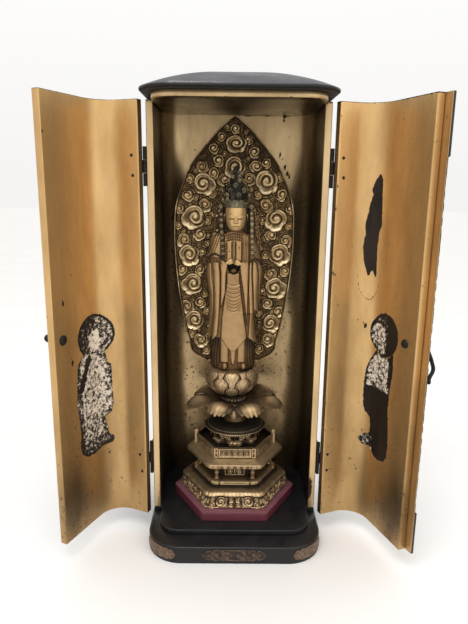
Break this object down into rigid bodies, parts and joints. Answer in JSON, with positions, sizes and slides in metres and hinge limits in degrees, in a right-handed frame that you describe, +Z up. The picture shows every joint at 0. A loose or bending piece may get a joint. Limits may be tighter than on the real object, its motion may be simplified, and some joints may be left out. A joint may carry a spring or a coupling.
{
  "type": "household altar cabinet",
  "caption": "Upright lacquered altar cabinet with a domed roof and curved hinged doors that open on a carved, gilded standing figure before a pointed mandorla on a tiered lotus stand.",
  "frame": {"origin": "centre of the plinth's underside, midway between the hinge lines", "axes": "+Z up, +X to the right seen from the front, +Y from the open front into the case; hinge lines lie in the plane Y = 0"},
  "size_m": [0.4302, 0.2067, 0.5596],
  "materials": {
    "black_lacquer": "black lacquer, satin, scuffed at the edges",
    "gilt_lacquer": "gold leaf on lacquered wood inside and black lacquer outside, worn and toned brown",
    "worn_gilding": "carved wood with worn gilding over dark lacquer",
    "darkened_gilding": "carved wood, gilding almost black with age",
    "red_lacquer": "dark wine-red lacquer, satin",
    "bronze_plate": "thin engraved plate, brown and worn",
    "dark_iron": "black iron fittings, matt",
    "tarnished_copper": "openwork metal, dark green-brown tarnish"
  },
  "bodies": {
    "case": {"base_plinth": "black_lacquer", "floor_board": "black_lacquer", "roof_cap": "black_lacquer", "ceiling_board": "gilt_lacquer", "rear_shell": "gilt_lacquer", "corner_plate_left": "bronze_plate", "corner_plate_right": "bronze_plate", "front_plate": "bronze_plate", "hinge_case_left_lower": "dark_iron", "hinge_case_left_upper": "dark_iron", "hinge_case_right_lower": "dark_iron", "hinge_case_right_upper": "dark_iron", "statue_board": "red_lacquer", "foot_tier": "worn_gilding", "tray_tier": "worn_gilding", "waist_tier": "worn_gilding", "flared_tier": "worn_gilding", "railing_tier": "worn_gilding", "cloud_cluster": "darkened_gilding", "draped_disc": "darkened_gilding", "petal_tier": "worn_gilding", "calyx_ring": "darkened_gilding", "lotus_bud": "worn_gilding", "mandorla": "worn_gilding", "figure": "worn_gilding", "crown": "tarnished_copper"},
    "left_door": {"door_left": "gilt_lacquer", "latch_stud": "dark_iron", "stud_rosette": "dark_iron", "hinge_door_left_lower": "dark_iron", "hinge_door_left_upper": "dark_iron"},
    "right_door": {"door_right": "gilt_lacquer", "closing_strip": "gilt_lacquer", "hook_pin": "dark_iron", "pin_clinch": "dark_iron", "hinge_door_right_lower": "dark_iron", "hinge_door_right_upper": "dark_iron"},
    "hook": {"latch_hook": "dark_iron"}
  },
  "joints": [
    {"name": "left_door_hinge", "type": "hinge", "parent": "case", "child": "left_door", "pos_m": [-0.1055, 0, 0.28], "axis": [0, 0, 1], "range_deg": [-46, 113.68]},
    {"name": "right_door_hinge", "type": "hinge", "parent": "case", "child": "right_door", "pos_m": [0.1055, 0, 0.28], "axis": [0, 0, -1], "range_deg": [-50, 109.81]},
    {"name": "hook_pivot", "type": "hinge", "parent": "right_door", "child": "hook", "pos_m": [0.20907, -0.0541, 0.271], "axis": [-0.9408, -0.3389, 0], "range_deg": [-122, 45]}
  ]
}
